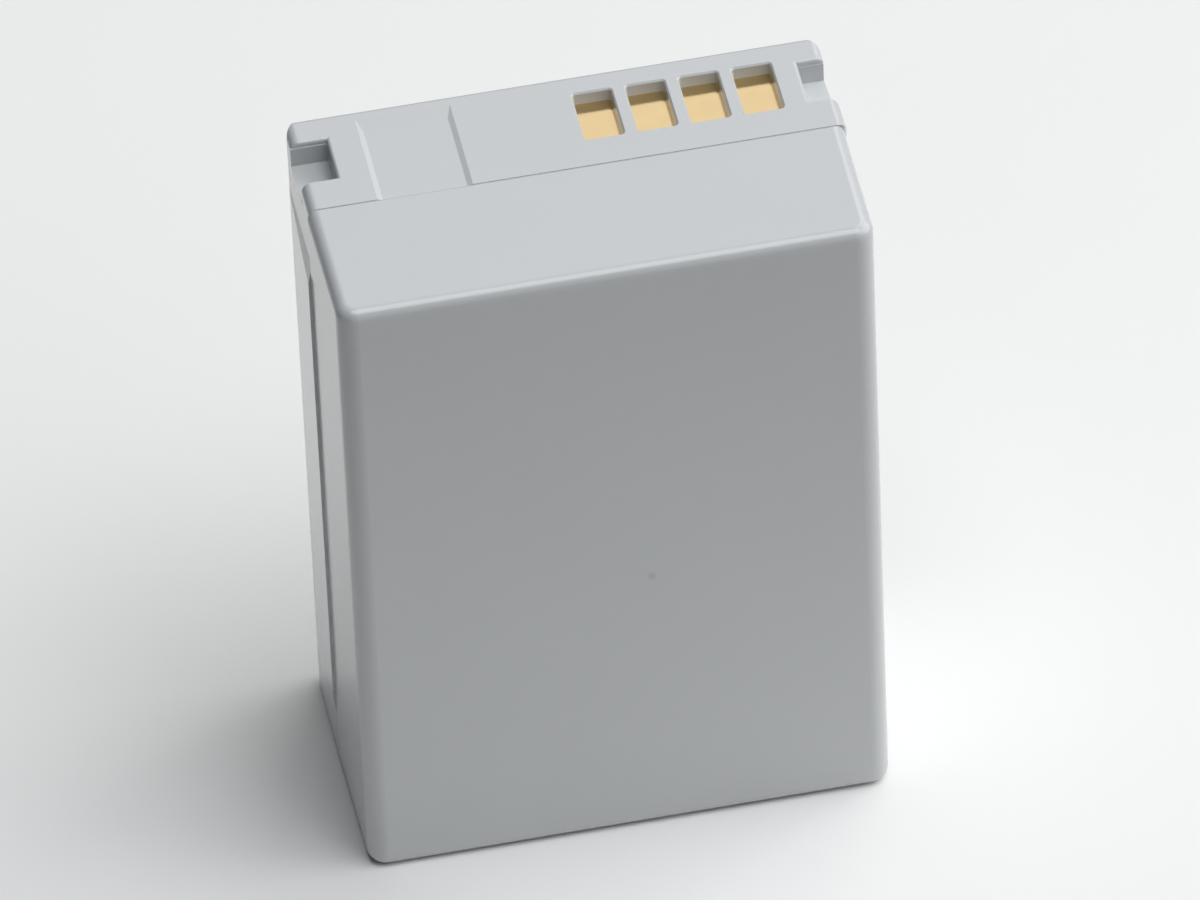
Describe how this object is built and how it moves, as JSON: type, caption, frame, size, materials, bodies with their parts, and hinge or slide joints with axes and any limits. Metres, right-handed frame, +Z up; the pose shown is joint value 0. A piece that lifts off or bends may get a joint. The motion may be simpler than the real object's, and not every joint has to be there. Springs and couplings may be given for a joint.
{
  "type": "camera battery",
  "caption": "Light grey rechargeable pack for a camera: a welded two-part block case with gold contacts in windows and key notches along its top.",
  "frame": {"origin": "centre of the base, on the surface that it stands on", "axes": "+Z up towards the contacts, +Y from the broad front face to the back face, +X to the right seen from the front"},
  "size_m": [0.033, 0.0176, 0.0465],
  "materials": {
    "case_plastic": "fine satin moulded plastic",
    "contact_gold": "smooth gold plating",
    "cell_can": "drawn can, plain",
    "nickel": "rolled strip",
    "board_laminate": "solder mask",
    "chip_resin": "moulded resin",
    "carrier_plastic": "moulded plastic",
    "insulating_paper": "insulating sheet",
    "foam": "closed-cell foam"
  },
  "bodies": {
    "root": {"front_shell": "case_plastic", "rear_shell": "case_plastic", "contact_negative": "contact_gold", "contact_data": "contact_gold", "contact_thermistor": "contact_gold", "contact_positive": "contact_gold", "front_cell": "cell_can", "rear_cell": "cell_can", "negative_tab": "nickel", "positive_tab": "nickel", "series_link": "nickel", "circuit_board": "board_laminate", "protection_chip": "chip_resin", "switch_transistor": "chip_resin", "thermal_fuse": "chip_resin", "thermistor": "chip_resin", "chip_passives": "chip_resin", "board_carrier": "carrier_plastic", "cell_separator": "insulating_paper", "top_insulator": "insulating_paper", "base_pad": "foam", "front_pad": "foam", "rear_pad": "foam"}
  },
  "joints": []
}
